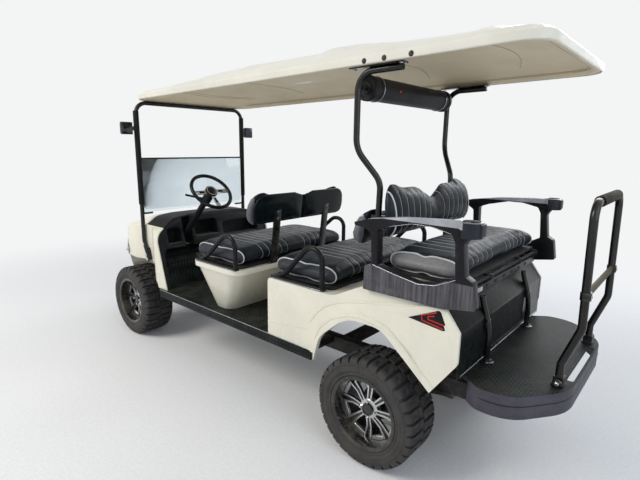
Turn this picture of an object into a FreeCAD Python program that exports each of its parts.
"""Lifted six-seat golf cart with a rear-facing flip seat, a long roof and a standing plate at the tail.

Frame: millimetres, +X to the nose, +Y to the driver's side, +Z up. The origin is on the ground,
under the middle of the cart's length and width.
"""
import FreeCAD, Part
import math
import os

V = FreeCAD.Vector

# Running gear
WHEELBASE = 2460.0
REAR_AXLE_X = -1030.0
FRONT_AXLE_X = REAR_AXLE_X + WHEELBASE
TYRE_R = 292.0
TYRE_LUG_DEPTH = 11.0
TYRE_TREAD_HALF = 112.0
TYRE_BULGE = 14.0
TYRE_LUGS = 30
TYRE_LUG_SHARE = 0.72
TYRE_BORE_R = 178.0
RIM_WALL = 12.0
RIM_FLANGE_R = 196.0
RIM_FLANGE_T = 6.0
RIM_DISC_Y = 34.0
RIM_DISC_T = 20.0
RIM_SPOKE_PAIRS = 8
RIM_SPOKE_SPREAD = 9.5
RIM_SPOKE_W = 15.0
RIM_HUB_R = 50.0
RIM_HUB_BACK = -22.0
RIM_HUB_FRONT = 62.0
REAR_WHEEL_Y = 538.0
FRONT_WHEEL_Y = 505.0
SPINDLE_R = 20.0
RUNNING_GAP = 0.3
AXLE_Z = TYRE_R

# Front suspension and steering
KINGPIN_Y = 395.0
KINGPIN_R = 10.0
KNUCKLE_R = 22.0
KNUCKLE_H = 88.0
EAR_T = 12.0
EAR_W = 50.0
BEAM_W = 50.0
BEAM_H = 60.0
STEER_ARM_LENGTH = 115.0
STEER_ARM_T = 12.0
STEER_ARM_HALF_W = 14.0
STEER_ARM_DROP = 14.0
TIE_ROD_R = 9.0
TIE_EYE_R = 17.0
TIE_PIN_R = 6.0

# Frame and floor
RAIL_W = 50.0
RAIL_H = 90.0
RAIL_TOP_Z = 475.0
RAIL_Y = 300.0
RAIL_NOSE_Y = 190.0
FLOOR_T = 12.0
FLOOR_Z = RAIL_TOP_Z + FLOOR_T
BODY_Y = 590.0
FLOOR_HALF_W = BODY_Y - 50.0
SILL_OUT_Y = BODY_Y + 2.0
SILL_DROP = 62.0
SILL_T = FLOOR_T
SILL_FRONT_X = 985.0
SILL_REAR_X = -628.0
SPRING_T = 24.0

# Body panels
PANEL_T = 8.0
CORNER_STEPS = 6
MID_POD_FRONT_X = -274.0
MID_POD_TOP_Z = 842.0
SHOULDER_Z = 935.0
BODY_REAR_X = -1470.0
FENDER_OUT = 7.0
FLARE_OUT = 18.0
FLARE_BAND = 34.0
TAIL_CORNER = 46.0

FRONT_POD_TOP_Z = 812.0
FRONT_POD_LIP_H = 34.0
FRONT_POD_FRONT_X = 545.0
FRONT_POD_REAR_X = 20.0
FRONT_POD_HALF_W = BODY_Y + 2.0
FRONT_POD_FOOT_FRONT_X = 395.0
FRONT_POD_FOOT_REAR_X = 200.0
FRONT_POD_FOOT_HALF_W = BODY_Y - 82.0

COWL_REAR_X = 905.0
COWL_HALF_W = BODY_Y - 15.0
COWL_WAIST_Y = COWL_HALF_W - 67.0
COWL_FENDER_Y = COWL_HALF_W - 37.0
COWL_NOSE_Y = COWL_HALF_W - 175.0
COWL_TIP_Y = COWL_HALF_W - 345.0
COWL_NOSE_X = 1850.0
COWL_TOP_Z = 1046.0
COWL_DRAFT = 8.0
DASH_EDGE = 12.0
DASH_FRONT_X = 1160.0
DASH_SHELF_Z = 792.0
DASH_WALL = 40.0
DASH_WELL_Y = COWL_HALF_W - PANEL_T - DASH_WALL
TOE_HALF_W = COWL_WAIST_Y - 32.0
TOE_EDGE = 6.0
BIN_OUT_Y = COWL_WAIST_Y - 38.0
WHEEL_WELL_Y = 240.0
HOUSING_T = 6.0
BUMPER_FRONT_X = 1893.0
BUMPER_H = 60.0
BUMPER_HALF = COWL_HALF_W - 245.0

# Seats
SEAT_GAP = 0.3
TRAY_T = 14.0
CUSHION_H = 112.0
SEAT_HALF_W = BODY_Y - 55.0
LID_HINGE_R = 4.0
LID_KNUCKLE_R = 7.0
LID_HINGE_OUT = 10.0
LID_HINGE_HALF = 90.0
LID_HINGE_Y = 310.0
FRONT_TRAY_X1 = FRONT_POD_FRONT_X - 2.0
MID_TRAY_X1 = MID_POD_FRONT_X - 2.0
BACK_T = 86.0
SHELL_T = 10.0
FRONT_BACK = {"x": 14.0, "z": 1098.0, "height": 212.0, "lean": -26.0}
MID_BACK = {"x": -853.0, "z": 1107.0, "height": 183.0, "lean": -38.0}
REAR_BACK = {"x": -1062.0, "z": 1165.0, "height": 262.0, "lean": 30.0}
BACK_POST_Y = 250.0
BACK_POST_W = 62.0
BACK_POST_T = 12.0
HIP_RAIL_W = 30.0
HIP_BASE_HALF = 22.0
HIP_GAP = 9.0
HIP_RAIL_Y = SEAT_HALF_W + HIP_GAP + HIP_BASE_HALF
HIP_BASE_T = 20.0
HIP_BAR = 30.0

# Front strut and windshield
STRUT_R = 16.0
STRUT_BEND = 90.0
FRONT_STRUT_X = 1304.0
FOOT_PLATE_T = 3.0
FRONT_STRUT_KINK_Z = 815.0
FRONT_STRUT_FOOT_X = 1240.0
FRONT_STRUT_FOOT_Z = 680.0
GLASS_T = 6.0
GLASS_GAP = 4.0
GLASS_BOTTOM_Z = 1058.0
GLASS_TOP_Z = 1490.0

# Roof
ROOF_FRONT_X = 1318.0
ROOF_REAR_X = -1700.0
ROOF_HALF_W = 536.0
ROOF_FRONT_Z = 1945.0
ROOF_REAR_Z = 2003.0
ROOF_BAND_H = 44.0
ROOF_DOME_H = 88.0
ROOF_DOME_INSET = 210.0
ROOF_WALL = 8.0
ROOF_LINER_T = 6.0

# Rear strut and sound bar
REAR_STRUT_X = -828.0
REAR_STRUT_Y = 488.0
REAR_STRUT_LOW_Y = 405.0
REAR_STRUT_LOW_X = -912.0
REAR_STRUT_REACH = 250.0
BRACKET_T = 6.0
SOUND_BAR_R = 60.0
SOUND_BAR_HALF = 420.0
SOUND_BAR_Z = 1900.0

# Rear seat, armrests and standing plate
BED_FRONT_X = -985.0
BED_REAR_X = -1440.0
BED_TUBE = 36.0
FLIP_HINGE_X = -1452.0
FLIP_HINGE_Z = 1008.0
FLIP_REACH = 385.0
FLIP_BACK = 26.0
DECK_T = 12.0
HINGE_PIN_R = 8.0
FLIP_PIN_Y = SEAT_HALF_W - 15.0
FLIP_EAR_T = 10.0
FLIP_EAR_OUT_Y = SEAT_HALF_W - 30.0
FLIP_EAR_IN_Y = 205.0
ARM_GAP = 37.0
ARM_IN_Y = SEAT_HALF_W + ARM_GAP
ARM_T = 46.0
CUP_R = 39.0
CUP_WALL = 9.0
CUP_DEPTH = 55.0
CUP_FLOOR = 8.0
CUP_X = -1496.0
CUP_Y = ARM_IN_Y + 29.0
ARM_TOP_Z = 1322.0
POST_Y = 300.0
POST_R = 14.0
PLATE_TOP_Z = 607.0
PLATE_H = 104.0
PLATE_FRONT_X = -1474.0
PLATE_REAR_X = -1875.0
PLATE_HALF_W = BODY_Y - 24.0
PLATE_WALL = 12.0
GRAB_Y = 297.0
GRAB_R = 17.0
GRAB_FOOT_X = -1818.0
GRAB_KNEE_X = -1878.0
GRAB_TOP_X = -1866.0
GRAB_TOP_Z = 1405.0
GRIP_R = 24.0

# Steering
COLUMN_Y = 280.0
COLUMN_TILT = 45.0
STEER_WHEEL_R = 158.0
STEER_GRIP_R = 14.0
GRIP_SIDES = 8
STEER_HUB_R = 48.0
STEER_X = 690.0
STEER_Z = 1262.0
COLUMN_R = 24.0


# Helpers

def place(plane, a, b, at):
    """A point from its two coordinates in a plane and the plane's own station."""
    if plane == "XZ":
        return V(a, at, b)
    if plane == "XY":
        return V(a, b, at)
    return V(at, a, b)


def outline(points, plane="XZ", at=0.0):
    """A closed wire of lines and tangent arcs. Each point is (a, b) or (a, b, corner radius)."""
    flat = [(p[0], p[1], p[2] if len(p) > 2 else 0.0) for p in points]
    count = len(flat)
    corners = []
    for i in range(count):
        before = V(*flat[i - 1][:2])
        here = V(*flat[i][:2])
        after = V(*flat[(i + 1) % count][:2])
        radius = flat[i][2]
        if radius <= 0:
            corners.append((here, None, here))
            continue
        into = before - here
        out = after - here
        into = into / into.Length
        out = out / out.Length
        half = math.acos(max(-1.0, min(1.0, into.x * out.x + into.y * out.y))) / 2
        reach = radius / math.tan(half)
        middle = into + out
        middle = middle / middle.Length
        crown = here + middle * (radius / math.sin(half) - radius)
        corners.append((here + into * reach, crown, here + out * reach))
    edges = []
    for i in range(count):
        start, crown, end = corners[i]
        following = corners[(i + 1) % count][0]
        a, b = place(plane, start.x, start.y, at), place(plane, end.x, end.y, at)
        if crown is not None:
            edges.append(Part.Arc(a, place(plane, crown.x, crown.y, at), b).toShape())
        c = place(plane, following.x, following.y, at)
        if (c - b).Length > 1e-6:
            edges.append(Part.LineSegment(b, c).toShape())
    return Part.Wire(edges)


def prism(points, plane, start, end):
    """An outline extruded from one station of its normal axis to another."""
    travel = end - start
    push = {"XZ": V(0, travel, 0), "XY": V(0, 0, travel), "YZ": V(travel, 0, 0)}[plane]
    return Part.Face(outline(points, plane, start)).extrude(push)


def block(x0, x1, y0, y1, z0, z1):
    """A box from its six sides."""
    return Part.makeBox(x1 - x0, y1 - y0, z1 - z0, V(x0, y0, z0))


def rod(a, b, radius):
    """A round bar between two points."""
    a, b = V(*a), V(*b)
    return Part.makeCylinder(radius, (b - a).Length, a, b - a)


def tube(points, radius):
    """A round tube through points (x, y, z) or (x, y, z, bend radius), straight runs and round bends."""
    pieces = []
    cursor = V(*points[0][:3])
    for i in range(1, len(points) - 1):
        before, here, after = (V(*points[k][:3]) for k in (i - 1, i, i + 1))
        bend = points[i][3]
        along, leave = (here - before).normalize(), (after - here).normalize()
        turn = along.getAngle(leave)
        reach = bend * math.tan(turn / 2)
        start = here - along * reach
        axis = along.cross(leave).normalize()
        centre = start + axis.cross(along) * bend
        pieces.append(Part.makeCylinder(radius, (start - cursor).Length, cursor, along))
        disc = Part.Face(Part.Wire(Part.makeCircle(radius, start, along)))
        pieces.append(disc.revolve(centre, axis, math.degrees(turn)))
        cursor = here + leave * reach
    pieces.append(rod(cursor, V(*points[-1][:3]), radius))
    return fuse(pieces)


def fuse(pieces):
    """One solid of touching or overlapping pieces, with no seam faces left."""
    whole = pieces[0]
    if len(pieces) > 1:
        whole = whole.multiFuse(pieces[1:])
    return whole.removeSplitter()


def mirrored(shape):
    """The same shape on the other side of the cart."""
    return shape.mirror(V(0, 0, 0), V(0, 1, 0))


def pair(shape):
    """A left piece and its mirror image, as two solids of one node."""
    return Part.makeCompound([shape, mirrored(shape)])


def rounded_plan(x0, x1, half_width, radius):
    """The corners of a rounded rectangle seen from above."""
    return [(x0, -half_width, radius), (x1, -half_width, radius),
            (x1, half_width, radius), (x0, half_width, radius)]


def moulded_plan(x0, x1, half_width, radius):
    """A rounded rectangle seen from above, its corners in short straight steps as flat moulded panels have."""
    middle_x, middle_y = (x1 - radius, half_width - radius), (x0 + radius, half_width - radius)
    centres = [middle_x, middle_y, (x0 + radius, radius - half_width), (x1 - radius, radius - half_width)]
    points = []
    for quarter, (x, y) in enumerate(centres):
        for step in range(CORNER_STEPS + 1):
            angle = math.pi / 2 * (quarter + step / CORNER_STEPS)
            points.append((x + radius * math.cos(angle), y + radius * math.sin(angle)))
    return points


def tapered(low, high, z0, z1):
    """A straight-sided loft between two plan outlines that have as many corners."""
    return Part.makeLoft([outline(low, "XY", z0), outline(high, "XY", z1)], True, True)


# Wheels

def lug_ring():
    """The tread band: cross lugs round a band, as one toothed outline extruded over the tread's width."""
    root = TYRE_R - TYRE_LUG_DEPTH
    pitch = 2 * math.pi / TYRE_LUGS
    lug = pitch * TYRE_LUG_SHARE

    def at(radius, angle):
        return V(radius * math.cos(angle), -TYRE_TREAD_HALF, radius * math.sin(angle))

    edges = []
    for i in range(TYRE_LUGS):
        a = i * pitch
        edges.append(Part.Arc(at(TYRE_R, a), at(TYRE_R, a + lug / 2), at(TYRE_R, a + lug)).toShape())
        edges.append(Part.LineSegment(at(TYRE_R, a + lug), at(root, a + lug)).toShape())
        edges.append(Part.LineSegment(at(root, a + lug), at(root, a + pitch)).toShape())
        edges.append(Part.LineSegment(at(root, a + pitch), at(TYRE_R, a + pitch)).toShape())
    return Part.Face(Part.Wire(edges)).extrude(V(0, 2 * TYRE_TREAD_HALF, 0))


def tyre():
    """An off-road tyre about the Y axis."""
    band = lug_ring().cut(rod((0, -TYRE_TREAD_HALF - 1, 0), (0, TYRE_TREAD_HALF + 1, 0), TYRE_BORE_R))
    edge = TYRE_TREAD_HALF
    shoulder = TYRE_R - TYRE_LUG_DEPTH - 6
    side = [(RIM_FLANGE_R + 1, edge), (shoulder, edge), (shoulder - 16, edge + TYRE_BULGE * 0.8),
            (shoulder - 40, edge + TYRE_BULGE), (RIM_FLANGE_R + 12, edge + TYRE_BULGE * 0.6)]
    wall = Part.Face(outline([(r, y) for r, y in side], "XY", 0)).revolve(V(0, 0, 0), V(0, 1, 0), 360)
    return fuse([band, wall, mirrored(wall)])


def rim():
    """A deep-dish alloy wheel about the Y axis, its face towards +Y."""
    outer = TYRE_BORE_R - RUNNING_GAP
    inner = outer - RIM_WALL
    lip = TYRE_TREAD_HALF + RUNNING_GAP
    section = [(inner, -lip - RIM_FLANGE_T), (RIM_FLANGE_R, -lip - RIM_FLANGE_T), (RIM_FLANGE_R, -lip),
               (outer, -lip), (outer, lip), (RIM_FLANGE_R, lip), (RIM_FLANGE_R, lip + RIM_FLANGE_T),
               (inner, lip + RIM_FLANGE_T)]
    barrel = Part.Face(outline(section, "XY", 0)).revolve(V(0, 0, 0), V(0, 1, 0), 360)
    hub = rod((0, RIM_HUB_BACK, 0), (0, RIM_HUB_FRONT, 0), RIM_HUB_R)
    reach = inner + RIM_WALL / 2
    spoke = prism([(RIM_HUB_R - 8, -RIM_SPOKE_W / 2), (reach, -RIM_SPOKE_W / 2),
                   (reach, RIM_SPOKE_W / 2), (RIM_HUB_R - 8, RIM_SPOKE_W / 2)],
                  "XZ", RIM_DISC_Y, RIM_DISC_Y + RIM_DISC_T)
    spokes = []
    for i in range(RIM_SPOKE_PAIRS):
        for side in (-1, 1):
            copy = spoke.copy()
            copy.rotate(V(0, 0, 0), V(0, 1, 0), i * 360 / RIM_SPOKE_PAIRS + side * RIM_SPOKE_SPREAD)
            spokes.append(copy)
    bore = rod((0, RIM_HUB_BACK - 1, 0), (0, RIM_DISC_Y, 0), SPINDLE_R + RUNNING_GAP)
    return fuse([barrel, hub] + spokes).cut(bore)


def wheel_at(shape, axle_x, side, wheel_y):
    """A wheel's piece moved to its hub, facing outwards."""
    placed = shape.copy()
    if side < 0:
        placed.rotate(V(0, 0, 0), V(0, 0, 1), 180)
    placed.translate(V(axle_x, side * wheel_y, AXLE_Z))
    return placed


# Running gear

def spring(axle_x, y, half_span, seat_z):
    """A leaf spring: it sits on the axle and meets the frame rail at both ends."""
    top = RAIL_TOP_Z - RAIL_H
    return prism([(axle_x - half_span, top), (axle_x - half_span + 50, top), (axle_x - 50, seat_z + SPRING_T),
                  (axle_x + 50, seat_z + SPRING_T), (axle_x + half_span - 50, top), (axle_x + half_span, top),
                  (axle_x + half_span, top - SPRING_T), (axle_x + half_span - 50, top - SPRING_T),
                  (axle_x + 50, seat_z), (axle_x - 50, seat_z), (axle_x - half_span + 50, top - SPRING_T),
                  (axle_x - half_span, top - SPRING_T)], "XZ", y - RAIL_W / 2, y + RAIL_W / 2)


def front_axle():
    """The front beam with a fork and kingpin at each end, and its two leaf springs."""
    x = FRONT_AXLE_X
    beam = block(x - BEAM_W / 2, x + BEAM_W / 2, -KINGPIN_Y + 45, KINGPIN_Y - 45,
                 AXLE_Z - BEAM_H / 2, AXLE_Z + BEAM_H / 2)
    low = AXLE_Z - KNUCKLE_H / 2 - 2
    high = AXLE_Z + KNUCKLE_H / 2 + 2
    pieces = [beam]
    for side in (-1, 1):
        near, far = sorted((side * (KINGPIN_Y - 65), side * (KINGPIN_Y - 45)))
        pieces.append(block(x - EAR_W / 2, x + EAR_W / 2, near, far, low - EAR_T, high + EAR_T))
        near, far = sorted((side * (KINGPIN_Y - 65), side * (KINGPIN_Y + KNUCKLE_R)))
        pieces.append(block(x - EAR_W / 2, x + EAR_W / 2, near, far, low - EAR_T, low))
        pieces.append(block(x - EAR_W / 2, x + EAR_W / 2, near, far, high, high + EAR_T))
        pieces.append(rod((x, side * KINGPIN_Y, low - EAR_T), (x, side * KINGPIN_Y, high + EAR_T), KINGPIN_R))
        pieces.append(spring(x, side * RAIL_NOSE_Y, 310, AXLE_Z + BEAM_H / 2))
    return fuse(pieces)


def knuckle():
    """The left steering knuckle: boss round the kingpin, spindle into the wheel, arm to the tie rod."""
    x, y = FRONT_AXLE_X, KINGPIN_Y
    boss = rod((x, y, AXLE_Z - KNUCKLE_H / 2), (x, y, AXLE_Z + KNUCKLE_H / 2), KNUCKLE_R)
    spindle = rod((x, y, AXLE_Z), (x, FRONT_WHEEL_Y + RIM_DISC_Y - 4, AXLE_Z), SPINDLE_R)
    shoulder = rod((x, y, AXLE_Z), (x, FRONT_WHEEL_Y + RIM_HUB_BACK - 1, AXLE_Z), SPINDLE_R + 14)
    arm_z = AXLE_Z - STEER_ARM_DROP - STEER_ARM_T
    end = x - STEER_ARM_LENGTH
    arm = block(end, x, y - STEER_ARM_HALF_W, y + STEER_ARM_HALF_W, arm_z, arm_z + STEER_ARM_T)
    eye = rod((end, y, arm_z), (end, y, arm_z + STEER_ARM_T), TIE_EYE_R)
    pin = rod((end, y, arm_z - 2 - STEER_ARM_T), (end, y, arm_z + 1), TIE_PIN_R)
    bore = rod((x, y, AXLE_Z - KNUCKLE_H), (x, y, AXLE_Z + KNUCKLE_H), KINGPIN_R + RUNNING_GAP)
    return fuse([boss, shoulder, spindle, arm, eye, pin]).cut(bore)


def tie_rod():
    """The bar between the two steering arms, with a flat eye under each."""
    x = FRONT_AXLE_X - STEER_ARM_LENGTH
    y = KINGPIN_Y
    top = AXLE_Z - STEER_ARM_DROP - STEER_ARM_T - RUNNING_GAP
    low = top - STEER_ARM_T
    pieces = [block(x - TIE_ROD_R, x + TIE_ROD_R, -y, y, low, top)]
    for side in (-1, 1):
        pieces.append(rod((x, side * y, low), (x, side * y, top), TIE_EYE_R))
    bar = fuse(pieces)
    for side in (-1, 1):
        bar = bar.cut(rod((x, side * y, low - 1), (x, side * y, top + 1), TIE_PIN_R + RUNNING_GAP))
    return bar


def rear_axle():
    """The live rear axle: tubes, gear case, motor and brake drums, with its leaf springs."""
    x = REAR_AXLE_X
    hub_face = REAR_WHEEL_Y + RIM_HUB_BACK
    pieces = [rod((x, -hub_face + 30, AXLE_Z), (x, hub_face - 30, AXLE_Z), 38),
              rod((x, -REAR_WHEEL_Y - RIM_DISC_Y + 4, AXLE_Z), (x, REAR_WHEEL_Y + RIM_DISC_Y - 4, AXLE_Z),
                  SPINDLE_R),
              rod((x, -70, AXLE_Z), (x, 70, AXLE_Z), 105),
              rod((x - 60, 70, AXLE_Z + 30), (x - 60, 250, AXLE_Z + 30), 88)]
    for side in (-1, 1):
        pieces.append(rod((x, side * (hub_face - 75), AXLE_Z), (x, side * (hub_face - 6), AXLE_Z), 90))
        pieces.append(spring(x, side * RAIL_Y, 330, AXLE_Z + 26))
    return fuse(pieces)


def chassis_frame():
    """Steel ladder frame: rails that close in at the nose, cross members, outriggers and plate arms, each a bar."""
    low, cross_low = RAIL_TOP_Z - RAIL_H, RAIL_TOP_Z - RAIL_H + 20
    join_x, nose_x, rear_x = 960.0, 1770.0, BODY_REAR_X + 30
    rail_in, rail_out = RAIL_Y - RAIL_W / 2, RAIL_Y + RAIL_W / 2
    nose_in, nose_out = RAIL_NOSE_Y - RAIL_W / 2, RAIL_NOSE_Y + RAIL_W / 2
    reach = PLATE_TOP_Z - PLATE_WALL - SEAT_GAP
    bars = [block(join_x - RAIL_W, join_x, -rail_out, rail_out, low, RAIL_TOP_Z),
            block(nose_x - RAIL_W, nose_x, -nose_in, nose_in, cross_low, RAIL_TOP_Z)]
    for x in (rear_x + 25, -640, -230, 400):
        bars.append(block(x - 25, x + 25, -rail_in, rail_in, cross_low, RAIL_TOP_Z))
    sides = [block(rear_x, join_x - RAIL_W, rail_in, rail_out, low, RAIL_TOP_Z),
             block(join_x, nose_x, nose_in, nose_out, low, RAIL_TOP_Z),
             block(PLATE_REAR_X + 60, rear_x, 200, 240, reach - 50, reach),
             block(rear_x - 20, rear_x, 200, 240, cross_low, reach - 50)]
    for x in (-560, 180, 880):
        sides.append(block(x - 20, x + 20, rail_out, SILL_OUT_Y - SILL_T - RUNNING_GAP, RAIL_TOP_Z - 40, RAIL_TOP_Z))
    return Part.makeCompound(bars + sides + [mirrored(bar) for bar in sides])


# Floor and sills

def floor_pan():
    """Flat floor from the mid pod to the toe board, which rises ahead of the feet to the dash."""
    t, low = FLOOR_T, RAIL_TOP_Z
    foot, knee, head = (SILL_FRONT_X, low), (SILL_FRONT_X + 55, 634), (SILL_FRONT_X + 163, 768)
    flat = block(MID_POD_FRONT_X, foot[0], -FLOOR_HALF_W, FLOOR_HALF_W, low, FLOOR_Z)
    half = DASH_WELL_Y - 2
    rise = prism([(foot[0] - t, low), foot, knee, (knee[0] - t, knee[1] + 6), (foot[0] - t, FLOOR_Z)],
                 "XZ", -half, half)
    toe = prism([(knee[0] - 6, knee[1] - 16), knee, head, (head[0] - t, head[1] + 6), (knee[0] - 14, knee[1] + 6)],
                "XZ", TOE_EDGE - TOE_HALF_W, TOE_HALF_W - TOE_EDGE)
    return fuse([flat, rise, toe])


def sill_board():
    """The left running board: a tread plate with its outer edge turned down."""
    top, t = FLOOR_Z, SILL_T
    return prism([(FLOOR_HALF_W, top), (SILL_OUT_Y, top, 5), (SILL_OUT_Y, top - SILL_DROP),
                  (SILL_OUT_Y - t, top - SILL_DROP), (SILL_OUT_Y - t, top - t), (FLOOR_HALF_W, top - t)],
                 "YZ", SILL_REAR_X, SILL_FRONT_X)


# Body panels

def front_pod():
    """The hollow body under the front seat: a small foot flaring up to a wide lip, with a hatch on top."""
    lip_low, top = FRONT_POD_TOP_Z - FRONT_POD_LIP_H, FRONT_POD_TOP_Z

    def plans(inset):
        foot = moulded_plan(FRONT_POD_FOOT_REAR_X + inset, FRONT_POD_FOOT_FRONT_X - inset,
                            FRONT_POD_FOOT_HALF_W - inset, 70 - inset)
        waist = moulded_plan(FRONT_POD_REAR_X + 22 + inset, FRONT_POD_FRONT_X - 22 - inset,
                             FRONT_POD_HALF_W - 14 - inset, 95 - inset)
        return foot, waist

    foot, waist = plans(0.0)
    lip = moulded_plan(FRONT_POD_REAR_X, FRONT_POD_FRONT_X, FRONT_POD_HALF_W, 100)
    outer = fuse([tapered(foot, waist, FLOOR_Z, lip_low), prism(lip, "XY", lip_low, top)])
    foot, waist = plans(PANEL_T)
    inner = fuse([tapered(foot, waist, FLOOR_Z - 1, lip_low), prism(waist, "XY", lip_low, top - PANEL_T)])
    hatch = prism(rounded_plan(130, 470, 440, 40), "XY", top - 30, top + 1)
    leaves = lid_hinges(FRONT_TRAY_X1, FRONT_POD_FRONT_X, top + SEAT_GAP, lip_low + 2)
    return Part.makeCompound([outer.cut(inner).cut(hatch)] + leaves)


def battery_pack():
    """The drive batteries as one plain block on the floor under the front seat."""
    return block(FRONT_POD_FOOT_REAR_X + 20, FRONT_POD_FOOT_FRONT_X - 20, -400, 400, FLOOR_Z, FLOOR_Z + 255)


def arch_outline(grow=0.0):
    """The rear wheel opening seen from the side, grown outwards by some millimetres."""
    x, side = REAR_AXLE_X, grow * 0.7
    return [(x + 372 + grow, 440), (x + 330 + grow, 596 + grow * 0.3, 150 + grow),
            (x + 150 + side, 750 + grow, 200 + grow), (x - 62 - side, 752 + grow, 150 + grow),
            (x - 345 - grow, 512 + grow * 0.3, 10), (x - 390 - grow, 440)]


def body_side():
    """The outline of the rear body seen from the side."""
    x = MID_POD_FRONT_X
    return [(x, FLOOR_Z), (x, MID_POD_TOP_Z, 25), (x - 500, MID_POD_TOP_Z, 160),
            (x - 690, SHOULDER_Z, 160), (BODY_REAR_X + 60, SHOULDER_Z, 12), (BODY_REAR_X - 13, 836, 24),
            (BODY_REAR_X - 13, 692, 40), (REAR_AXLE_X - 335, 522, 12), (REAR_AXLE_X - 300, 440),
            (REAR_AXLE_X + 372, 440), (REAR_AXLE_X + 372, FLOOR_Z)]


def fender_side():
    """The slightly proud fender round the rear wheel, seen from the side."""
    return [(-612, FLOOR_Z), (-612, 640, 120), (-727, 776, 160), (-888, 842, 260), (-1314, 924, 300),
            (-1500, 930), (-1500, 440), (-700, 440), (-700, FLOOR_Z)]


def lamp_side(shrink=0.0):
    """The tail lamp's three-cornered outline seen from the side."""
    s = shrink
    return [(-1232 - 3 * s, 848), (-1430 + s, 826 + s, 16), (-1388 + s * 0.4, 920 - 1.6 * s, 14)]


def rear_body():
    """The rear body shell: seat pod, shoulders and fenders in one skin, with both wheel openings."""
    side = body_side()
    shell = prism(side, "XZ", -BODY_Y, BODY_Y)
    proud = prism(fender_side(), "XZ", -BODY_Y - FENDER_OUT, BODY_Y + FENDER_OUT)
    flare = prism(arch_outline(FLARE_BAND), "XZ", -BODY_Y - FLARE_OUT, BODY_Y + FLARE_OUT)
    keep = prism(side, "XZ", -BODY_Y - FLARE_OUT, BODY_Y + FLARE_OUT)
    shell = fuse([shell, proud.common(keep), flare.common(keep)])
    t, x = PANEL_T, MID_POD_FRONT_X
    hollow = prism([(x - t, 430), (x - t, MID_POD_TOP_Z - t, 20), (x - 500, MID_POD_TOP_Z - t, 160),
                    (x - 690, SHOULDER_Z - t, 160), (BODY_REAR_X - 60, SHOULDER_Z - t),
                    (BODY_REAR_X - 60, 430)], "XZ", -BODY_Y + t, BODY_Y - t)
    seat_hole = block(-740, -330, -400, 400, MID_POD_TOP_Z - 30, MID_POD_TOP_Z + 30)
    lamps = prism(lamp_side(), "XZ", -BODY_Y - FLARE_OUT, BODY_Y + FLARE_OUT)
    wheels = prism(arch_outline(), "XZ", -BODY_Y - 60, BODY_Y + 60)
    shell = shell.cut(hollow).cut(wheels).cut(seat_hole).cut(lamps)
    leaves = lid_hinges(MID_TRAY_X1, MID_POD_FRONT_X, MID_POD_TOP_Z + SEAT_GAP, MID_POD_TOP_Z - 52)
    return Part.makeCompound([shell] + leaves)


def tail_lamp():
    """The left tail lamp, let into the body's skin."""
    return prism(lamp_side(SEAT_GAP), "XZ", BODY_Y - PANEL_T, BODY_Y + FENDER_OUT + 2)


def rear_fascia():
    """The black tail panel between the fenders, bent to follow their rear edge."""
    half, t, x = BODY_Y - PANEL_T - SEAT_GAP, 6.0, BODY_REAR_X - 11
    top = SHOULDER_Z - PANEL_T - SEAT_GAP
    low = PLATE_TOP_Z + 5
    return prism([(x + 71, top), (x, 836, 20), (x, low), (x + t, low), (x + t, 838, 14), (x + 71 + t, top)],
                 "XZ", -half, half)


def front_arch(grow=0.0):
    """The front wheel opening in the cowl seen from the side."""
    x = FRONT_AXLE_X
    return [(x - 425 - grow, 380), (x - 392 - grow, 520, 60), (x - 215 - grow * 0.5, 660 + grow, 120 + grow),
            (x + 215 + grow * 0.5, 660 + grow, 120 + grow), (x + 345 + grow, 520, 80), (x + 352 + grow, 380)]


def cowl_plan(inset=0.0):
    """The cowl seen from above, with a waist where the strut's feet are bolted on."""
    right = [(COWL_REAR_X - 40, COWL_HALF_W), (1065, COWL_HALF_W, 60), (1190, COWL_WAIST_Y, 120),
             (1330, COWL_WAIST_Y, 160), (1440, COWL_FENDER_Y, 160), (1610, COWL_FENDER_Y - 20, 160),
             (1790, COWL_NOSE_Y, 150), (COWL_NOSE_X, COWL_TIP_Y, 160)]
    points = [(x - (inset if x > COWL_REAR_X else 0), y - inset, *r) for x, y, *r in right]
    return points + [(x, -y, *r) for x, y, *r in reversed(points)]


def cowl_side(inset=0.0):
    """The cowl seen from the side: slanted rear edge, top, hood and nose."""
    top = COWL_TOP_Z - inset
    return [(COWL_REAR_X, FLOOR_Z), (COWL_REAR_X + 150, 1008, 60), (COWL_REAR_X + 170, top, 40),
            (1300 - inset, top - 4, 260), (1560 - inset, 930 - inset, 300), (1800 - inset, 740 - inset, 160),
            (COWL_NOSE_X - inset, 600, 80), (COWL_NOSE_X - 20 - inset, 490), (1100, 490), (1100, FLOOR_Z)]


def cowl_front(inset=0.0):
    """The cowl seen from the front: upright sides, round shoulders and a slightly crowned top."""
    half, top = COWL_HALF_W - inset, COWL_TOP_Z - inset
    return [(-half - COWL_DRAFT, 400), (-half, 905, 120), (-half + 165, top - 22, 160), (0, top + 20, 2600),
            (half - 165, top - 22, 160), (half, 905, 120), (half + COWL_DRAFT, 400)]


def cowl_solid(inset, front_x):
    """The cowl as one block, shrunk all round by an inset."""
    plan = prism(cowl_plan(inset), "XY", 380, COWL_TOP_Z + 60)
    side = prism(cowl_side(inset), "XZ", -COWL_HALF_W - 5, COWL_HALF_W + 5)
    return plan.common(side).common(prism(cowl_front(inset), "YZ", COWL_REAR_X - 60, front_x))


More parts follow.
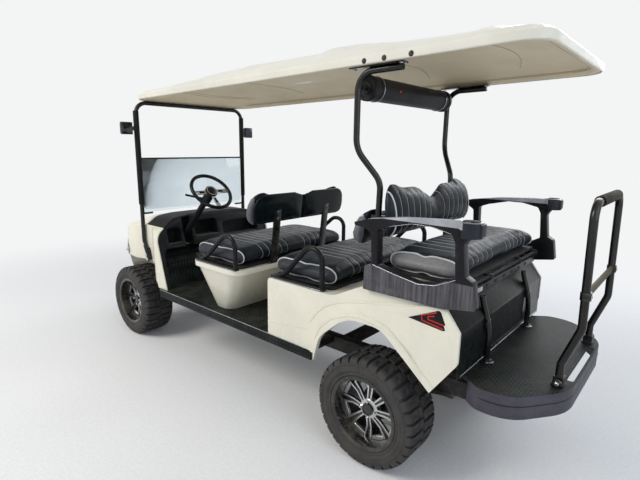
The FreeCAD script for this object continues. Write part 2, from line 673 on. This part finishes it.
def front_cowl():
    """The front body shell with its hood and a housing over each front wheel."""
    outer = cowl_solid(0.0, COWL_NOSE_X + 20)
    plan = prism(cowl_plan(PANEL_T), "XY", 370, COWL_TOP_Z + 60)
    side = cowl_side(PANEL_T)
    side = [(side[0][0] - 60, 370), (side[1][0] - 60, 1008)] + side[2:7] + [(side[7][0], 370)]
    inner = plan.common(prism(side, "XZ", -COWL_HALF_W, COWL_HALF_W))
    inner = inner.common(prism(cowl_front(PANEL_T), "YZ", COWL_REAR_X - 100, COWL_NOSE_X + 20))
    shell = outer.cut(inner)
    housing = prism(front_arch(HOUSING_T), "XZ", WHEEL_WELL_Y, COWL_HALF_W).common(outer)
    opening = prism(front_arch(), "XZ", WHEEL_WELL_Y + HOUSING_T, COWL_HALF_W + 40)
    shell = shell.multiFuse([housing, mirrored(housing)])
    return shell.cut(opening).cut(mirrored(opening)).removeSplitter()


def dashboard():
    """The black dash that lines the cowl's rear opening, with bins and a channel for the column."""
    inset = PANEL_T + SEAT_GAP
    body = cowl_solid(inset, DASH_FRONT_X)
    edge = [(COWL_REAR_X + DASH_EDGE, FLOOR_Z), (COWL_REAR_X + DASH_EDGE + 150, 1008),
            (COWL_REAR_X + DASH_EDGE + 160, COWL_TOP_Z + 20), (DASH_FRONT_X, COWL_TOP_Z + 20),
            (DASH_FRONT_X, DASH_SHELF_Z - 18), (1080, 620), (1000, FLOOR_Z)]
    body = body.common(prism(edge, "XZ", -COWL_HALF_W, COWL_HALF_W))
    for well_half, x0, x1 in ((DASH_WELL_Y, COWL_REAR_X - 60, 1050), (TOE_HALF_W + 2, 1049, DASH_FRONT_X + 20)):
        body = body.cut(prism([(-well_half, 400), (-well_half, DASH_SHELF_Z, 40),
                               (well_half, DASH_SHELF_Z, 40), (well_half, 400)], "YZ", x0, x1))
    back = DASH_FRONT_X - 14
    bins = ((345, BIN_OUT_Y, DASH_SHELF_Z + 26, 950, 30), (COLUMN_Y - 40, COLUMN_Y + 40, DASH_SHELF_Z - 30, 1100, 4),
            (-20, 215, 850, 985, 24), (-BIN_OUT_Y, -70, DASH_SHELF_Z + 26, 950, 40))
    for y0, y1, z0, z1, radius in bins:
        hole = [(y0, z0, radius), (y0, z1, radius), (y1, z1, radius), (y1, z0, radius)]
        body = body.cut(prism(hole, "YZ", COWL_REAR_X - 60, back))
    return body


def pedals():
    """Brake and drive pedals: bent levers standing on the floor with flat pads."""
    pieces = []
    for y, width, rise in ((225, 96, 210), (110, 62, 190)):
        lever = prism([(930, FLOOR_Z), (968, FLOOR_Z), (940, FLOOR_Z + rise - 40), (925, FLOOR_Z + rise - 32)],
                      "XZ", y - 9, y + 9)
        pad = prism([(905, FLOOR_Z + rise - 62), (917, FLOOR_Z + rise - 66), (958, FLOOR_Z + rise + 36),
                     (946, FLOOR_Z + rise + 40)], "XZ", y - width / 2, y + width / 2)
        pieces.append(fuse([lever, pad]))
    return Part.makeCompound(pieces)


def headlamp():
    """The left headlamp: a slanted lens standing a little proud of the cowl's nose."""
    block_all = prism([(1560, 690, 24), (1700, 800, 20), (1880, 700, 20), (1880, 590, 24), (1760, 600, 30)],
                      "XZ", 262, 560)
    skin = cowl_solid(-6.0, COWL_NOSE_X + 20).cut(cowl_solid(-SEAT_GAP, COWL_NOSE_X + 20))
    return skin.common(block_all)


def front_bumper():
    """A flat bar ahead of the nose on two brackets from the frame rails."""
    front, half = BUMPER_FRONT_X, BUMPER_HALF
    low, high = RAIL_TOP_Z - RAIL_H, RAIL_TOP_Z - RAIL_H + BUMPER_H
    bar = prism([(front - 70, -half - 100, 6), (front - 40, -half, 60), (front - 40, half, 60),
                 (front - 70, half + 100, 6), (front - 50, half + 120, 6), (front, half, 80),
                 (front, -half, 80), (front - 50, -half - 120, 6)], "XY", low, high)
    arms = [block(1770, front - 20, side * RAIL_NOSE_Y - 20, side * RAIL_NOSE_Y + 20, low + 5, high - 5)
            for side in (-1, 1)]
    return fuse([bar] + arms)


# Seats

def cushion(x0, x1, z0, half_w=SEAT_HALF_W, height=CUSHION_H):
    """A plain seat cushion block with rounded front and rear edges."""
    return prism([(x0, z0, 10), (x1, z0, 10), (x1, z0 + height, 34), (x0, z0 + height, 34)],
                 "XZ", -half_w, half_w)


def hip_rail(x0, x1, top_z, base_z):
    """The left hip rail of a bench: a flat base with a loop that slopes up from front to rear."""
    near, far = HIP_RAIL_Y - HIP_BASE_HALF, HIP_RAIL_Y + HIP_BASE_HALF
    base = prism([(x0, near, 8), (x1, near, 20), (x1, far, 20), (x0, far, 8)], "XY",
                 base_z, base_z + HIP_BASE_T)
    y0, y1 = HIP_RAIL_Y - HIP_RAIL_W / 2, HIP_RAIL_Y + HIP_RAIL_W / 2
    low, b = base_z + HIP_BASE_T - 2, HIP_BAR
    loop = prism([(x0 + 4, low), (x0 + 4, top_z, 55), (x0 + 150, top_z, 90), (x1 - 30, low)], "XZ", y0, y1)
    hole = prism([(x0 + 4 + b, low + 14, 14), (x0 + 4 + b, top_z - b, 30), (x0 + 136, top_z - b, 60),
                  (x1 - 115, low + 14, 20)], "XZ", y0 - 1, y1 + 1)
    return fuse([base, loop.cut(hole)])


def back_x(back, z):
    """The station of a backrest's rear face at some height."""
    return back["x"] + back["lean"] * (z - back["z"]) / back["height"]


def seat_back(back):
    """A backrest pad leaning from its foot to its top."""
    x, z, thick = back["x"], back["z"], BACK_T
    top, lean = z + back["height"], back["lean"]
    return prism([(x, z, 16), (x + thick, z, 30), (x + thick + lean, top, 34), (x + lean, top, 24)],
                 "XZ", -SEAT_HALF_W, SEAT_HALF_W)


def front_back_frame():
    """The front bench's back shell with the two uprights that carry it."""
    back, t = FRONT_BACK, SHELL_T
    z0, z1 = back["z"] - 4, back["z"] + back["height"] - 14
    face = [(back_x(back, z) - SEAT_GAP, z) for z in (z0, z1)]
    shell = prism([(face[0][0] - t, z0), (face[0][0], z0), (face[1][0], z1), (face[1][0] - t, z1)],
                  "XZ", -SEAT_HALF_W + 8, SEAT_HALF_W - 8)
    pieces = [shell]
    for side in (-1, 1):
        middle = side * BACK_POST_Y
        line = [(back_x(back, z) - SEAT_GAP - t, z) for z in (FRONT_POD_TOP_Z, back["z"] + 90)]
        bar = prism([(line[0][0] - BACK_POST_T, line[0][1]), line[0], line[1],
                     (line[1][0] - BACK_POST_T, line[1][1])],
                    "XZ", middle - BACK_POST_W / 2, middle + BACK_POST_W / 2)
        foot = prism([(line[0][0] - BACK_POST_T, line[0][1]), (line[0][0] + 8, line[0][1]),
                      (line[0][0] + 8, line[0][1] + 8), (line[0][0] - BACK_POST_T, line[0][1] + 8)],
                     "XZ", middle - BACK_POST_W / 2 - 12, middle + BACK_POST_W / 2 + 12)
        pieces += [bar, foot]
    return fuse(pieces)


def seat_tray(x0, x1, z0):
    """The flat board under a cushion, with the moving half of two hinges along its front edge."""
    z = z0 + TRAY_T / 2
    x = x1 + LID_HINGE_OUT
    pieces = [prism(rounded_plan(x0, x1, SEAT_HALF_W - 6, 30), "XY", z0, z0 + TRAY_T)]
    for side in (-1, 1):
        y = side * LID_HINGE_Y
        pieces.append(rod((x, y - LID_HINGE_HALF, z), (x, y + LID_HINGE_HALF, z), LID_HINGE_R))
        pieces.append(rod((x, y - LID_HINGE_HALF / 3, z), (x, y + LID_HINGE_HALF / 3, z), LID_KNUCKLE_R))
        pieces.append(block(x1 - 4, x, y - LID_HINGE_HALF / 3, y + LID_HINGE_HALF / 3, z - 3, z + 3))
    return fuse(pieces)


def lid_hinges(tray_x1, wall_x, z0, foot_z):
    """The fixed halves of a seat's two hinges: bored knuckles on plates that stand on the pod's front wall."""
    x, z = tray_x1 + LID_HINGE_OUT, z0 + TRAY_T / 2
    pieces = []
    for side in (-1, 1):
        for near, far in ((-LID_HINGE_HALF, -LID_HINGE_HALF / 3 - 1), (LID_HINGE_HALF / 3 + 1, LID_HINGE_HALF)):
            y0, y1 = side * LID_HINGE_Y + near, side * LID_HINGE_Y + far
            leaf = block(wall_x, x + 1, y0, y1, foot_z, z)
            pieces.append(leaf.fuse(rod((x, y0, z), (x, y1, z), LID_KNUCKLE_R)))
    bore = LID_HINGE_R + RUNNING_GAP
    pin = rod((x, -SEAT_HALF_W, z), (x, SEAT_HALF_W, z), bore)
    return [piece.cut(pin) for piece in pieces]


# Roof, struts and windshield

def roof_low(x):
    """The height of the roof's flat underside at a station along the cart."""
    share = (ROOF_FRONT_X - x) / (ROOF_FRONT_X - ROOF_REAR_X)
    return ROOF_FRONT_Z + share * (ROOF_REAR_Z - ROOF_FRONT_Z)


def tilt_to_roof(shape):
    """A shape built level at z = 0 for the underside, turned and lifted onto the roof's slope."""
    angle = math.degrees(math.atan2(ROOF_REAR_Z - ROOF_FRONT_Z, ROOF_FRONT_X - ROOF_REAR_X))
    turned = shape.copy()
    turned.rotate(V(ROOF_FRONT_X, 0, 0), V(0, 1, 0), angle)
    turned.translate(V(0, 0, ROOF_FRONT_Z))
    return turned


def roof_skin(inset):
    """The roof as one block: an upright rim band, a long slope inwards and a flat crown."""
    x0, x1, half = ROOF_REAR_X + inset, ROOF_FRONT_X - inset, ROOF_HALF_W - inset
    band = ROOF_BAND_H - inset
    rim_plan = moulded_plan(x0, x1, half, 110 - inset)
    crown = moulded_plan(x0 + ROOF_DOME_INSET, x1 - ROOF_DOME_INSET * 1.6, half - ROOF_DOME_INSET, 150)
    edge = moulded_plan(x0 + 26, x1 - 26, half - 26, 90 - inset)
    pieces = [prism(rim_plan, "XY", -1 if inset else 0, band), tapered(rim_plan, edge, band, band + 18),
              tapered(edge, crown, band + 18, band + ROOF_DOME_H)]
    return fuse(pieces)


def roof_canopy():
    """The roof's outer skin, open underneath."""
    return tilt_to_roof(roof_skin(0.0).cut(roof_skin(ROOF_WALL)))


def roof_liner():
    """The flat ceiling board inside the roof's rim."""
    inset = ROOF_WALL + SEAT_GAP
    plan = moulded_plan(ROOF_REAR_X + inset, ROOF_FRONT_X - inset, ROOF_HALF_W - inset, 110 - inset)
    return tilt_to_roof(prism(plan, "XY", 0, ROOF_LINER_T))


def front_strut():
    """The hoop that carries the roof's front edge, with its legs bolted to the cowl's sides."""
    y = COWL_WAIST_Y + SEAT_GAP + FOOT_PLATE_T + STRUT_R
    top = roof_low(FRONT_STRUT_X) - STRUT_R
    foot = (FRONT_STRUT_FOOT_X, y, FRONT_STRUT_FOOT_Z)
    knee = (FRONT_STRUT_X, y, FRONT_STRUT_KINK_Z)
    path = [foot, (*knee, 200), (FRONT_STRUT_X, y, top, STRUT_BEND), (FRONT_STRUT_X, -y, top, STRUT_BEND),
            (knee[0], -y, knee[2], 200), (foot[0], -y, foot[2])]
    hoop = tube(path, STRUT_R)
    pads = []
    for side in (-1, 1):
        near, far = sorted((side * (COWL_WAIST_Y + SEAT_GAP), side * y))
        pads.append(prism([(foot[0] - 22, foot[2] - 6, 8), (foot[0] + 26, foot[2] - 20, 8),
                           (foot[0] + 60, foot[2] + 80, 8), (foot[0] + 8, foot[2] + 92, 8)], "XZ", near, far))
    return fuse([hoop] + pads)


def windshield_lower():
    """The fixed lower pane between the front strut's legs."""
    half = COWL_WAIST_Y + FOOT_PLATE_T - 2
    x = FRONT_STRUT_X - GLASS_T / 2
    return prism([(-half, GLASS_BOTTOM_Z, 14), (half, GLASS_BOTTOM_Z, 14), (half, GLASS_TOP_Z),
                  (-half, GLASS_TOP_Z)], "YZ", x, x + GLASS_T)


def windshield_upper():
    """The upper pane, folded down in front of the lower one."""
    half = COWL_WAIST_Y + FOOT_PLATE_T - 14
    x = FRONT_STRUT_X + GLASS_T / 2 + GLASS_GAP
    return prism([(-half, GLASS_BOTTOM_Z + 22, 30), (half, GLASS_BOTTOM_Z + 22, 30), (half, GLASS_TOP_Z),
                  (-half, GLASS_TOP_Z)], "YZ", x, x + GLASS_T)


def windshield_trim():
    """The fold strip over both panes' top edges and two clips that hold the lower corners."""
    x0 = FRONT_STRUT_X - GLASS_T / 2 - 5
    x1 = FRONT_STRUT_X + GLASS_T * 1.5 + GLASS_GAP + 5
    half = COWL_WAIST_Y + SEAT_GAP + FOOT_PLATE_T - SEAT_GAP
    pieces = [block(x0, x1, -half, half, GLASS_TOP_Z, GLASS_TOP_Z + 12)]
    for side in (-1, 1):
        near, far = sorted((side * (half - 75), side * half))
        pieces.append(block(x0, x1, near, far, GLASS_BOTTOM_Z - 14, GLASS_BOTTOM_Z))
    return Part.makeCompound(pieces)


def side_mirror():
    """The left side mirror: a clamp on the strut, a short arm and a housing."""
    x, z = FRONT_STRUT_X, 1730.0
    y = COWL_WAIST_Y + FOOT_PLATE_T + 2 * STRUT_R + SEAT_GAP * 2
    clamp = block(x - 14, x + 14, y, y + 10, z - 18, z + 18)
    arm = block(x - 7, x + 7, y, y + 30, z - 8, z + 8)
    head = prism([(x - 12, z - 50, 8), (x + 16, z - 42, 12), (x + 16, z + 42, 12), (x - 12, z + 50, 8)],
                 "XZ", y + 22, y + 112)
    return fuse([clamp, arm, head])


def rear_strut():
    """Two legs beside the back rests that bend outwards, run up and turn rearwards under the roof."""
    legs = []
    y, low_y = REAR_STRUT_Y, REAR_STRUT_LOW_Y
    far_x = REAR_STRUT_X - REAR_STRUT_REACH
    top_near, top_far = roof_low(REAR_STRUT_X) - BRACKET_T - STRUT_R, roof_low(far_x) - BRACKET_T - STRUT_R
    leg = tube([(REAR_STRUT_LOW_X, low_y, SHOULDER_Z), (REAR_STRUT_LOW_X - 14, low_y, 1440, 120),
                (REAR_STRUT_X, y, 1600, 160), (REAR_STRUT_X, y, top_near, 90), (far_x, y, top_far)], STRUT_R)
    lift = [(REAR_STRUT_X + 40, roof_low(REAR_STRUT_X + 40)), (far_x - 10, roof_low(far_x - 10))]
    plate = prism(lift + [(x, z - BRACKET_T - 1) for x, z in reversed(lift)], "XZ", y - 24, y + 24)
    base = prism(rounded_plan(REAR_STRUT_LOW_X - 40, REAR_STRUT_LOW_X + 40, 35, 10), "XY",
                 SHOULDER_Z, SHOULDER_Z + 6)
    base.translate(V(0, low_y, 0))
    pieces = [leg, plate, base]
    for z in (MID_BACK["z"] + 60, MID_BACK["z"] + 130):
        rear = [(back_x(REAR_BACK, h) + BACK_T + SEAT_GAP, h) for h in (z, z + 30)]
        front = [(back_x(MID_BACK, h) - SEAT_GAP, h) for h in (z, z + 30)]
        pieces.append(prism(rear[:1] + front + rear[1:], "XZ", low_y - 14, low_y + 14))
    return pair(fuse(pieces))


def sound_bar():
    """The round sound bar slung between the rear strut's legs."""
    x, z, half = REAR_STRUT_X, SOUND_BAR_Z, SOUND_BAR_HALF
    reach = REAR_STRUT_Y - STRUT_R - SEAT_GAP
    pieces = [rod((x, -half, z), (x, half, z), SOUND_BAR_R), rod((x, -reach, z), (x, reach, z), 13)]
    for side in (-1, 1):
        pieces.append(rod((x, side * (half - 26), z), (x, side * (half + 2), z), SOUND_BAR_R + 4))
    return fuse(pieces)


# Rear seat, armrests and standing plate

def rear_seat_frame():
    """The fixed frame on the body's shoulders, with hinge ears behind and stops for the deck in front."""
    low, top = SHOULDER_Z, SHOULDER_Z + BED_TUBE
    out_y = ARM_IN_Y - SEAT_GAP
    pieces = [block(BED_FRONT_X - BED_TUBE, BED_FRONT_X, -out_y, out_y, low, top),
              block(BED_REAR_X + 6, BED_REAR_X + 6 + BED_TUBE, -out_y, out_y, low, top)]
    rest = FLIP_HINGE_Z + 12 - SEAT_GAP
    for side in (-1, 1):
        near, far = sorted((side * (out_y - BED_TUBE), side * out_y))
        pieces.append(block(BED_REAR_X + 6, BED_FRONT_X, near, far, low, top))
        near, far = sorted((side * (SEAT_HALF_W - 65), side * (out_y - BED_TUBE + 4)))
        pieces.append(block(-1115, -1080, near, far, low, rest))
        for y in (FLIP_EAR_OUT_Y, FLIP_EAR_IN_Y):
            near, far = sorted((side * y, side * (y + FLIP_EAR_T)))
            pieces.append(prism([(BED_REAR_X + 8, top - 4), (BED_REAR_X + 36, top - 4),
                                 (FLIP_HINGE_X + 12, FLIP_HINGE_Z + 12, 12),
                                 (FLIP_HINGE_X - 12, FLIP_HINGE_Z + 12, 12),
                                 (FLIP_HINGE_X - 12, FLIP_HINGE_Z - 14, 8)], "XZ", near, far))
    reach = SEAT_HALF_W + 25
    pin = rod((FLIP_HINGE_X, -reach, FLIP_HINGE_Z), (FLIP_HINGE_X, reach, FLIP_HINGE_Z), HINGE_PIN_R + SEAT_GAP)
    return fuse(pieces).cut(pin)


def flip_deck():
    """The moving deck under the rear cushion, with its hinge pin; flipped over it is a cargo floor."""
    x0, x1 = FLIP_HINGE_X + 20, FLIP_HINGE_X + FLIP_REACH - 4
    z0 = FLIP_HINGE_Z + 12
    half = SEAT_HALF_W - 6
    pieces = [prism(rounded_plan(x0, x1, half, 20), "XY", z0, z0 + DECK_T),
              rod((FLIP_HINGE_X, -FLIP_PIN_Y, FLIP_HINGE_Z), (FLIP_HINGE_X, FLIP_PIN_Y, FLIP_HINGE_Z), HINGE_PIN_R)]
    for side in (-1, 1):
        for y in (FLIP_EAR_OUT_Y - 2 * FLIP_EAR_T, FLIP_EAR_IN_Y + 2 * FLIP_EAR_T):
            near, far = sorted((side * y, side * (y + FLIP_EAR_T)))
            pieces.append(prism([(FLIP_HINGE_X - 10, FLIP_HINGE_Z - 10, 8),
                                 (FLIP_HINGE_X + 12, FLIP_HINGE_Z - 10, 8),
                                 (x0 + 30, z0 + 4), (x0 + 4, z0 + 4), (FLIP_HINGE_X - 10, FLIP_HINGE_Z + 12, 8)],
                                "XZ", near, far))
    return fuse(pieces)


def armrest():
    """The left armrest: skirt, two posts and a top rail in one moulding, with a cup holder at its end."""
    low = SHOULDER_Z + SEAT_GAP
    side = [(-989, low, 6), (-1398, low, 60), (-1546, low + 25, 8), (-1528, 1075, 20), (-1492, 1095, 16),
            (-1476, 1225, 30), (-1500, 1262, 10), (-1548, 1264, 8), (-1548, 1322, 14), (-1375, 1318, 200),
            (-1184, 1306, 300), (-1004, 1281, 60), (-924, 1258, 6), (-930, 1243, 5), (-992, 1236, 24),
            (-1024, 1215, 20), (-1034, 1062, 16), (-993, 1054, 10)]
    loop = [(-1066, 1067, 14), (-1140, 1048, 60), (-1280, 1024, 120), (-1356, 1034, 60), (-1416, 1062, 40),
            (-1452, 1083, 12), (-1440, 1232, 16), (-1423, 1266, 16), (-1332, 1286, 80), (-1236, 1287, 120),
            (-1135, 1264, 100), (-1060, 1236, 16)]
    body = prism(side, "XZ", ARM_IN_Y, ARM_IN_Y + ARM_T).cut(prism(loop, "XZ", ARM_IN_Y - 1, ARM_IN_Y + ARM_T + 1))
    floor = ARM_TOP_Z - CUP_DEPTH
    cup = rod((CUP_X, CUP_Y, floor - CUP_FLOOR), (CUP_X, CUP_Y, ARM_TOP_Z), CUP_R + CUP_WALL)
    return fuse([body, cup]).cut(rod((CUP_X, CUP_Y, floor), (CUP_X, CUP_Y, ARM_TOP_Z + 20), CUP_R))


def plate_posts():
    """Two posts from the standing plate up to the tail panel, with feet and brackets."""
    x = BODY_REAR_X - 30
    post = rod((x, POST_Y, PLATE_TOP_Z), (x, POST_Y, 850), POST_R)
    foot = prism([(x - 26, POST_Y - 34, 8), (x + 18, POST_Y - 34, 8), (x + 18, POST_Y + 34, 8),
                  (x - 26, POST_Y + 34, 8)], "XY", PLATE_TOP_Z, PLATE_TOP_Z + 6)
    arm = block(x, BODY_REAR_X - 11 - SEAT_GAP, POST_Y - 20, POST_Y + 20, 780, 820)
    return pair(fuse([post, foot, arm]))


def plate_plan(inset=0.0):
    """The standing plate seen from above, with wide sides and big round rear corners."""
    i = inset
    right = [(PLATE_FRONT_X, 500 - i), (-1560, PLATE_HALF_W - i, 80), (-1700 + i * 0.4, PLATE_HALF_W - i, 180 - i),
             (PLATE_REAR_X + i, 330, 260 - i)]
    return right + [(x, -y, *r) for x, y, *r in reversed(right)]


def foot_plate():
    """The standing plate: tread top, skirt all round and a hand slot inside its rear lip."""
    low = PLATE_TOP_Z - PLATE_H
    body = prism(plate_plan(), "XY", low, PLATE_TOP_Z)
    hollow = prism(plate_plan(PLATE_WALL), "XY", low - 1, PLATE_TOP_Z - PLATE_WALL)
    front = block(PLATE_FRONT_X - 30, PLATE_FRONT_X + 10, -PLATE_HALF_W, PLATE_HALF_W, low - 1,
                  PLATE_TOP_Z - PLATE_WALL)
    x0 = PLATE_REAR_X + PLATE_WALL
    slot = prism([(x0, -230, 12), (x0 + 30, -230, 12), (x0 + 30, 230, 12), (x0, 230, 12)],
                 "XY", low, PLATE_TOP_Z + 1)
    return body.cut(hollow).cut(front).cut(slot)


def grab_bar():
    """The bent rail a standing rider holds, clamped to the plate, with a strap between its legs."""
    y, top = GRAB_Y, GRAB_TOP_Z
    left = [(GRAB_FOOT_X, y, PLATE_TOP_Z), (GRAB_FOOT_X, y, 704, 60), (GRAB_KNEE_X, y, 880, 80),
            (GRAB_TOP_X, y, top, 70)]
    right = [(x, -w, z, *r) for x, w, z, *r in reversed(left)]
    hoop = tube(left + right, GRAB_R)
    pieces = [hoop, block(GRAB_KNEE_X - 4, GRAB_KNEE_X + 8, -y, y, 1008, 1042)]
    for side in (-1, 1):
        x = GRAB_FOOT_X
        pieces.append(block(x - 24, x + 26, side * y - 25, side * y + 25, PLATE_TOP_Z, PLATE_TOP_Z + 8))
        pieces.append(block(x - 21, x + 21, side * y - 21, side * y + 21, PLATE_TOP_Z, PLATE_TOP_Z + 42))
    return fuse(pieces)


def grab_grip():
    """The foam sleeve on the grab bar's top."""
    ends = ((GRAB_TOP_X, -205, GRAB_TOP_Z), (GRAB_TOP_X, 205, GRAB_TOP_Z))
    return rod(*ends, GRIP_R).cut(rod(*ends, GRAB_R + SEAT_GAP))


# Steering wheel

def along_column(reach):
    """A point on the steering axis, so far down from the steering wheel's middle."""
    angle = math.radians(COLUMN_TILT)
    return (STEER_X + reach * math.cos(angle), COLUMN_Y, STEER_Z - reach * math.sin(angle))


def steering_wheel():
    """The steering wheel with three flat spokes and a round hub."""
    turns = [2 * math.pi * (i + 0.5) / GRIP_SIDES for i in range(GRIP_SIDES)]
    section = [(STEER_WHEEL_R + STEER_GRIP_R * math.cos(a), STEER_GRIP_R * math.sin(a)) for a in turns]
    ring = Part.Face(outline(section, "XZ", 0)).revolve(V(0, 0, 0), V(0, 0, 1), 360)
    pieces = [ring, rod((0, 0, -30), (0, 0, 8), STEER_HUB_R)]
    for angle in (0, 90, 180):
        spoke = block(0, STEER_WHEEL_R, -17, 17, -10, -3)
        spoke.rotate(V(0, 0, 0), V(0, 0, 1), angle + 90)
        pieces.append(spoke)
    wheel = fuse(pieces)
    wheel.rotate(V(0, 0, 0), V(0, 1, 0), COLUMN_TILT - 90)
    wheel.translate(V(STEER_X, COLUMN_Y, STEER_Z))
    return wheel


def steering_column():
    """The column from the steering wheel down into the dash, with a stalk on its head."""
    end = (DASH_FRONT_X - 14 - SEAT_GAP - COLUMN_R * math.sin(math.radians(COLUMN_TILT)) - STEER_X)
    length = end / math.cos(math.radians(COLUMN_TILT))
    head = rod(along_column(30 + SEAT_GAP), along_column(140), COLUMN_R + 12)
    shaft = rod(along_column(130), along_column(length), COLUMN_R)
    x, y, z = along_column(95)
    stalk = rod((x, y, z), (x + 30, y + 165, z + 45), 8)
    return fuse([head, shaft, stalk])


def build():
    """Every node of the cart, by name."""
    plain_tyre, plain_rim = tyre(), rim()
    corners = (("front_left", FRONT_AXLE_X, 1, FRONT_WHEEL_Y), ("front_right", FRONT_AXLE_X, -1, FRONT_WHEEL_Y),
               ("rear_left", REAR_AXLE_X, 1, REAR_WHEEL_Y), ("rear_right", REAR_AXLE_X, -1, REAR_WHEEL_Y))
    nodes = {}
    for corner, axle_x, side, wheel_y in corners:
        nodes["tyre_" + corner] = wheel_at(plain_tyre, axle_x, side, wheel_y)
        nodes["rim_" + corner] = wheel_at(plain_rim, axle_x, side, wheel_y)
    front_x0, front_x1 = 48.0, FRONT_POD_FRONT_X
    mid_x0, mid_x1 = MID_POD_FRONT_X - 456, MID_POD_FRONT_X
    front_tray_z = FRONT_POD_TOP_Z + SEAT_GAP
    mid_tray_z = MID_POD_TOP_Z + SEAT_GAP
    rise = TRAY_T + SEAT_GAP
    deck_z = FLIP_HINGE_Z + 12 + DECK_T + SEAT_GAP
    nodes.update({
        "front_axle": front_axle(),
        "knuckle_left": knuckle(),
        "knuckle_right": mirrored(knuckle()),
        "tie_rod": tie_rod(),
        "rear_axle": rear_axle(),
        "chassis_frame": chassis_frame(),
        "floor_pan": floor_pan(),
        "sill_boards": pair(sill_board()),
        "front_pod": front_pod(),
        "battery_pack": battery_pack(),
        "rear_body": rear_body(),
        "rear_fascia": rear_fascia(),
        "tail_lamps": pair(tail_lamp()),
        "front_cowl": front_cowl(),
        "headlamps": pair(headlamp()),
        "dashboard": dashboard(),
        "pedals": pedals(),
        "front_bumper": front_bumper(),
        "front_strut": front_strut(),
        "windshield_lower": windshield_lower(),
        "windshield_upper": windshield_upper(),
        "windshield_trim": windshield_trim(),
        "side_mirrors": pair(side_mirror()),
        "roof_canopy": roof_canopy(),
        "roof_liner": roof_liner(),
        "rear_strut": rear_strut(),
        "sound_bar": sound_bar(),
        "front_back_frame": front_back_frame(),
        "front_backrest": seat_back(FRONT_BACK),
        "mid_backrest": seat_back(MID_BACK),
        "rear_backrest": seat_back(REAR_BACK),
        "front_seat_tray": seat_tray(front_x0 + 4, FRONT_TRAY_X1, front_tray_z),
        "front_cushion": cushion(front_x0, front_x1 + 10, front_tray_z + rise),
        "mid_seat_tray": seat_tray(mid_x0 + 4, MID_TRAY_X1, mid_tray_z),
        "mid_cushion": cushion(mid_x0, mid_x1 + 8, mid_tray_z + rise),
        "hip_rails_front": pair(hip_rail(FRONT_POD_REAR_X + 17, FRONT_POD_FRONT_X - 61,
                                         FRONT_POD_TOP_Z + 232, FRONT_POD_TOP_Z)),
        "hip_rails_mid": pair(hip_rail(MID_POD_FRONT_X - 429, MID_POD_FRONT_X - 13,
                                       MID_POD_TOP_Z + 240, MID_POD_TOP_Z)),
        "rear_seat_frame": rear_seat_frame(),
        "flip_deck": flip_deck(),
        "rear_cushion": cushion(FLIP_HINGE_X + FLIP_BACK, FLIP_HINGE_X + FLIP_REACH, deck_z),
        "armrest_left": armrest(),
        "armrest_right": mirrored(armrest()),
        "plate_posts": plate_posts(),
        "foot_plate": foot_plate(),
        "grab_bar": grab_bar(),
        "grab_grip": grab_grip(),
        "steering_wheel": steering_wheel(),
        "steering_column": steering_column(),
    })
    return nodes


def main():
    os.makedirs("parts", exist_ok=True)
    for name, shape in build().items():
        for solid in shape.Solids:
            if not solid.isValid() or solid.Volume <= 0:
                print("not valid:", name)
        shape.exportStep("parts/" + name + ".step")
        box = shape.BoundBox
        print(name, len(shape.Solids), [round(v) for v in (box.XMin, box.XMax, box.YMin, box.YMax, box.ZMin,
                                                           box.ZMax)])


main()
